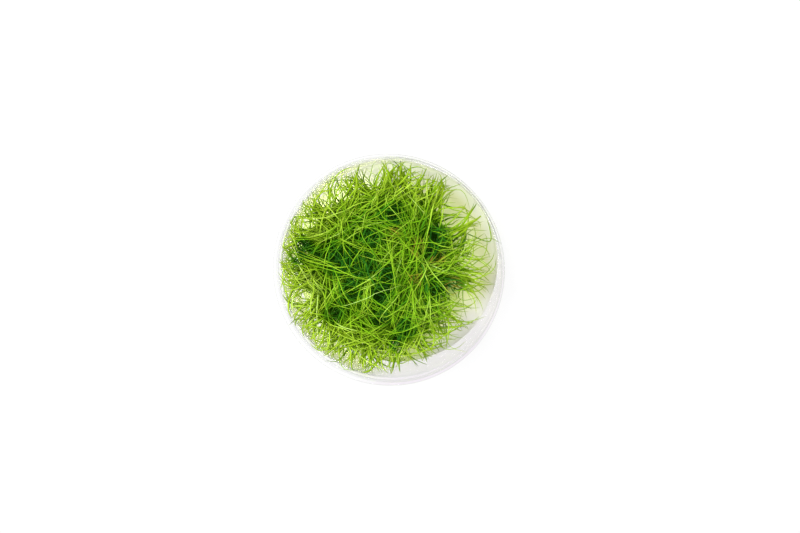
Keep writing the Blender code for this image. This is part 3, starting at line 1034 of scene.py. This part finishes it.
def on_sight(seen, height):
    """The points at some height that the photograph's camera sees at places (x, y)."""
    eye = camera_eye()
    share = (eye[2] - height) / (eye[2] - CUP_HEIGHT)
    flat = eye[:2] + (seen - eye[:2]) * share[..., None]
    return np.concatenate([flat, height[..., None]], axis=-1)


def in_cup(seen, height, radius):
    """Points on sight, raised where the cup's wall is in the way."""
    for _ in range(RAISES):
        flat = np.linalg.norm(on_sight(seen, height)[..., :2], axis=-1)
        blocked = flat > room_at(height, radius)
        height = np.where(blocked, np.minimum(height + RAISE, HIGHEST), height)
    return on_sight(seen, height)


def reach_limit(seen, share):
    """How far from the rim's centre a kind of blade reaches: from the dense mass, 0, to its edge, 1."""
    turn, dense, full = np.array(REACHES).T
    angle = np.degrees(np.arctan2(seen[..., 1], seen[..., 0])) % 360.0
    inner = np.interp(angle, turn, dense)
    return (inner + (np.interp(angle, turn, full) - inner) * share) / MM_PER_METRE


def draw_in(seen, share):
    """Places as seen, drawn in to the reach of their kind."""
    return seen * np.minimum(1.0, reach_limit(seen, share) / np.linalg.norm(seen, axis=-1))[..., None]


# Growth


def crown_of(node):
    """Where a tuft's crown stands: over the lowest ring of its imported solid."""
    points = np.array([v.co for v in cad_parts[node].data.vertices])
    lowest = points[points[:, 2] < points[:, 2].min() + LEVEL_TOLERANCE]
    return lowest[:, :2].mean(axis=0)


def nearest_tuft(crowns, place):
    return min(crowns, key=lambda node: math.dist(crowns[node], place))


def room_at(height, radius):
    """How far from the axis a blade may be at some height: anywhere, once it is over the rim."""
    room = inner_radius(np.minimum(height, CUP_HEIGHT)) - radius - CLEARANCE
    return np.where(height > CUP_HEIGHT + radius + CLEARANCE, 2.0 * RIM_RADIUS, room)


def turned(vectors, angles):
    """Flat vectors, each turned by its angle."""
    cosine, sine = np.cos(angles), np.sin(angles)
    x, y = vectors[:, 0], vectors[:, 1]
    return np.stack([x * cosine - y * sine, x * sine + y * cosine], axis=-1)


def bezier(handles, rings):
    """Cubic curves, each with four handles."""
    t = np.linspace(0.0, 1.0, rings)[None, :, None]
    first, second, third, fourth = (handles[:, index, None] for index in range(4))
    near = (1.0 - t) ** 3 * first + 3.0 * (1.0 - t) ** 2 * t * second
    return near + 3.0 * (1.0 - t) * t**2 * third + t**3 * fourth


def smooth_curve(points, rings):
    """A smooth curve through points, at even steps of its length."""
    gaps = np.sqrt(np.linalg.norm(np.diff(points, axis=0), axis=1))
    knots = np.concatenate([[0.0], np.cumsum(gaps)])
    speed = np.gradient(points, knots, axis=0)
    fine = np.linspace(0.0, knots[-1], CURVE_STEPS)
    low = np.clip(np.searchsorted(knots, fine, side="right") - 1, 0, len(gaps) - 1)
    gap = gaps[low][:, None]
    t = (fine - knots[low])[:, None] / gap
    curve = (1.0 + 2.0 * t) * (1.0 - t) ** 2 * points[low] + t**2 * (3.0 - 2.0 * t) * points[low + 1]
    curve += gap * (t * (1.0 - t) ** 2 * speed[low] - t**2 * (1.0 - t) * speed[low + 1])
    run = np.concatenate([[0.0], np.cumsum(np.linalg.norm(np.diff(curve, axis=0), axis=1))])
    even = np.linspace(0.0, run[-1], rings)
    return np.stack([np.interp(even, run, curve[:, axis]) for axis in range(3)], axis=-1)


def ripple(rng, paths, size):
    """A slight wave in each blade, none at its foot."""
    count, rings = paths.shape[:2]
    along = np.linspace(0.0, 1.0, rings)
    way = rng.normal(0.0, size, (count, 1, 3))
    phase = rng.random((count, 1)) * math.tau
    turns = rng.uniform(*WAVE_TURNS, (count, 1)) * math.tau
    return paths + way * (np.sin(along[None, :] * turns + phase) * along[None, :])[..., None]


def part(paths, spots, shy):
    """Pushes blades aside from spots, as far as each of them is shy."""
    for x, y, size in spots:
        away = as_seen(paths) - (x, y)
        distance = np.maximum(np.linalg.norm(away, axis=-1, keepdims=True), TINY)
        push = np.maximum(size * PUSH_REACH - distance, 0.0) * PUSH_SHARE
        paths[..., :2] += away / distance * push * shy[:, None, None]


def thinned(rng, paths, spots, shyness, above):
    """Which blades are left, when those that cross a spot above some height are plucked."""
    seen = as_seen(paths)
    left = np.ones(len(paths), bool)
    for x, y, size in spots:
        distance = np.hypot(seen[..., 0] - x, seen[..., 1] - y)
        crosses = ((distance < size) & (paths[..., 2] > above)).any(axis=1)
        left &= ~crosses | (rng.random(len(paths)) > shyness)
    return left


def keep_in_cup(paths, radius):
    flat = np.linalg.norm(paths[..., :2], axis=-1)
    room = room_at(paths[..., 2], radius[:, None])
    paths[..., :2] *= np.minimum(1.0, room / np.maximum(flat, TINY))[..., None]


def grow(rng, crown, kind, count, comb):
    """Blades of one kind out of one crown, shoot by shoot: their paths, their radii and their shoots."""
    shoots = math.ceil(count / kind.shoot)
    shoot = np.arange(count) % shoots
    stand = kind.spread * np.sqrt(rng.random(shoots))
    turn = rng.random(shoots) * math.tau
    base = crown + np.stack([np.cos(turn), np.sin(turn)], axis=-1) * stand[:, None]
    turn += rng.normal(0.0, SHOOT_LEAN, shoots)
    way = unit(np.stack([np.cos(turn), np.sin(turn)], axis=-1) + np.array(comb) * kind.comb)
    share = rng.uniform(*kind.limit, count)
    start = np.full((count, 3), GEL_SURFACE - ROOT_DEPTH)
    start[:, :2] = base[shoot] + rng.normal(0.0, ROOT_SCATTER, (count, 2))
    deep = np.minimum(share, 0.0) - rng.uniform(0.0, 1.0, count)
    start[:, :2] = on_sight(draw_in(as_seen(start), deep), start[:, 2])[:, :2]
    radius = rng.uniform(*kind.radius, count)
    distance = rng.uniform(*kind.reach, count)
    seen = as_seen(start) + turned(way[shoot], rng.normal(0.0, kind.fan, count)) * distance[:, None]
    target = in_cup(draw_in(seen, share), rng.uniform(*kind.height, count), radius)
    plan = target[:, :2] - start[:, :2]
    climb = target[:, 2] - start[:, 2]
    sway = rng.normal(0.0, kind.sway, shoots)[shoot] + rng.normal(0.0, BLADE_SWAY, count)
    handles = np.stack([start, start, target, target], axis=1)
    handles[:, 1, :2] += turned(plan, -sway) * rng.uniform(*FOOT_RUN, count)[:, None]
    handles[:, 1, 2] += climb * rng.uniform(*kind.rise, count)
    handles[:, 2, :2] -= turned(plan, sway) * TIP_RUN
    handles[:, 2, 2] -= rng.uniform(*kind.slope, count) * np.linalg.norm(plan, axis=-1) * TIP_RUN
    handles[:, 2, 2] = np.minimum(handles[:, 2, 2], HIGHEST)
    paths = ripple(rng, bezier(handles, kind.rings), WAVE)
    left = thinned(rng, paths, THIN_SPOTS, kind.shyness, 0.0)
    left &= thinned(rng, paths, DEPTHS, kind.parting * PLUCKED_SHARE, PLUCKED_ABOVE)
    paths, radius, shoot = paths[left], radius[left], shoot[left]
    part(paths, DEPTHS, kind.parting * np.sqrt(rng.random(len(paths))))
    part(paths, THIN_SPOTS, np.full(len(paths), THIN_PARTING))
    out = np.linalg.norm(as_seen(paths), axis=-1, keepdims=True)
    paths[..., :2] *= np.minimum(1.0, FURTHEST / np.maximum(out, TINY))
    keep_in_cup(paths, radius)
    return paths, radius, shoot


def grow_star(rng, crown, place, height, count):
    """Blades that share a runner up to a node, seen at a place, and part there."""
    node = on_sight(place, np.array(height))
    radius = rng.uniform(*STAR_RADIUS, count)
    turn = rng.random(count) * math.tau
    way = np.stack([np.cos(turn), np.sin(turn)], axis=-1)
    seen = place + way * rng.uniform(*STAR_REACH, count)[:, None]
    target = in_cup(draw_in(seen, STAR_LIMIT), node[2] + rng.uniform(*STAR_RISE, count), radius)
    foot = np.append(crown, GEL_SURFACE - ROOT_DEPTH)
    start = node + rng.normal(0.0, STAR_SCATTER, (count, 3))
    plan = target[:, :2] - start[:, :2]
    handles = np.stack([start, start, target, target], axis=1)
    sway = rng.normal(0.0, STAR_SWAY, count)
    handles[:, 1, :2] += turned(plan, -sway) * STAR_FOOT_RUN
    handles[:, 1, 2] += rng.uniform(*STAR_FOOT_LIFT, count)
    handles[:, 2, :2] -= turned(plan, sway) * STAR_TIP_RUN
    handles[:, 2, 2] += rng.uniform(*STAR_TIP_LIFT, count)
    stem = np.linspace(0.0, 1.0, STEM_RINGS)[:-1, None] * (start - foot)[:, None] + foot
    paths = ripple(rng, np.concatenate([stem, bezier(handles, STAR_RINGS)], axis=1), STAR_WAVE)
    keep_in_cup(paths, radius)
    return paths, radius


def grow_stray(crown, seen, heights, radius):
    """One blade of the table, rooted in the crown."""
    places = in_cup(seen, heights, radius)
    foot = np.append(crown, GEL_SURFACE - ROOT_DEPTH)
    lift = places[0] - unit(places[1] - places[0]) * STRAY_BACK - (0.0, 0.0, STRAY_DROP)
    lift[:2] = lift[:2] * (1.0 - STRAY_TO_FOOT) + foot[:2] * STRAY_TO_FOOT
    path = smooth_curve(np.concatenate([[foot, lift], places]), STRAY_RINGS)[None]
    keep_in_cup(path, radius)
    return path


def closeness(seen, spot, end):
    """How close places are to a spot: 1 in its core, and 0 from end times its size."""
    x, y, size = spot
    distance = np.hypot(seen[..., 0] - x, seen[..., 1] - y)
    return 1.0 - smooth_step(distance, size * SPOT_CORE, size * end)


def looks_along(paths, tone, frailty):
    """Painted shade as deeper tones low down and in the dark depths, painted light as lighter tones and
    sun near the wall and up high, and age in the withered spots.
    """
    flat = np.hypot(paths[..., 0], paths[..., 1])
    height = (paths[..., 2] - GEL_SURFACE) / (CUP_HEIGHT - GEL_SURFACE)
    edge = smooth_step(flat, *TONE_EDGE)
    # Painted light: tones rise near the wall
    tones = tone[:, None] + EDGE_TONE * (1.0 - tone[:, None]) * edge
    # Painted shade and light: tones fall low down and rise up high, away from the wall
    tones += HEIGHT_TONE * (height - MIDDLE_HEIGHT) * (1.0 - edge)
    # Painted sunlight near the wall and up high
    sun = smooth_step(flat, *SUN_EDGE) * smooth_step(height, *SUN_HEIGHT)
    seen = as_seen(paths)
    # Painted shade in the dark depths and close to the wall, which also takes away the sun
    for spot in DEPTHS + SHADES:
        shade = closeness(seen, spot, SHADE_END)
        tones -= SHADE_TONE * shade * (1.0 - smooth_step(height, *SHADE_HEIGHT))
        sun *= 1.0 - SHADE_SUN * shade
    age = np.zeros_like(tones)
    for spot in WITHERED:
        near = closeness(seen, spot, WITHERED_END) * WITHERED_SHARE
        age = np.maximum(age, smooth_step(near + frailty[:, None], *FRAIL))
    return {"tone": np.clip(tones, 0.0, 1.0), "sun": sun, "age": age * MOST_AGE}


def add_kinds(threads, rng, crown, tuft):
    """Every kind of blade that a crown grows. Half of a blade's tone is its shoot's."""
    edge = float(smooth_step(np.hypot(*crown), *EDGE_TUFTS))
    for name, kind in KINDS.items():
        fullness = tuft.fringe if name == "fringe" else tuft.fullness
        count = round(kind.count * fullness * (1.0 + (kind.at_edge - 1.0) * edge))
        paths, radius, shoot = grow(rng, crown, kind, count, tuft.comb)
        if not len(paths):
            continue
        tone = rng.normal(kind.tone + tuft.tone, kind.tone_spread, len(paths)) * 0.5
        tone += rng.normal(kind.tone + tuft.tone, kind.tone_spread, count)[shoot] * 0.5
        frailty = rng.random(len(paths))
        flatness = rng.uniform(*FLATNESS, len(paths))
        threads.add(paths, radius, flatness, looks_along(paths, tone, frailty), kind.sides)


def add_stars(threads, rng, node, crowns):
    """The stars that stand nearest to a tuft."""
    for x, y, height, count, tone in STARS:
        place = np.array([x, y]) / MM_PER_METRE
        if nearest_tuft(crowns, place) == node:
            paths, radius = grow_star(rng, crowns[node], place, height / MM_PER_METRE, count)
            tones = rng.normal(tone, STAR_TONE_SPREAD, len(paths))
            looks = looks_along(paths, tones, np.zeros(len(paths)))
            threads.add(paths, radius, np.full(len(paths), STAR_FLATNESS), looks, STAR_SIDES)


def add_strays(threads, node, crowns):
    """The blades of the table that come into sight nearest to a tuft."""
    for radius, tone, first, last, *places in STRAYS:
        seen = np.array(places) / MM_PER_METRE
        if nearest_tuft(crowns, seen[0]) == node:
            radii = np.array([radius / MM_PER_METRE * STRAY_BOLDNESS])
            heights = np.linspace(first, last, len(seen)) / MM_PER_METRE
            path = grow_stray(crowns[node], seen, heights, radii)
            looks = looks_along(path, np.array([tone]), np.zeros(1))
            # Painted shade: a stray's tone is darker at its foot and lighter where it rises high
            rise = smooth_step(path[..., 2], *STRAY_LIT)
            looks["tone"] = tone * (STRAY_FOOT_TONE + STRAY_TONE_RISE * rise)
            threads.add(path, radii, np.array([STRAY_FLATNESS]), looks, STRAY_SIDES)


def make_tuft(node, crowns, material):
    rng = np.random.default_rng(SEED + int(node[-2:]))
    threads = Threads()
    add_kinds(threads, rng, crowns[node], TUFTS[node])
    add_stars(threads, rng, node, crowns)
    add_strays(threads, node, crowns)
    piece = threads.build(f"grass_{node}", material)
    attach(piece, "root")
    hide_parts(node)


def main():
    make_camera()
    make_stage()
    make_cup()
    make_gel()
    material = grass_blade()
    crowns = {node: crown_of(node) for node in sorted(TUFTS)}
    for node in crowns:
        make_tuft(node, crowns, material)


main()
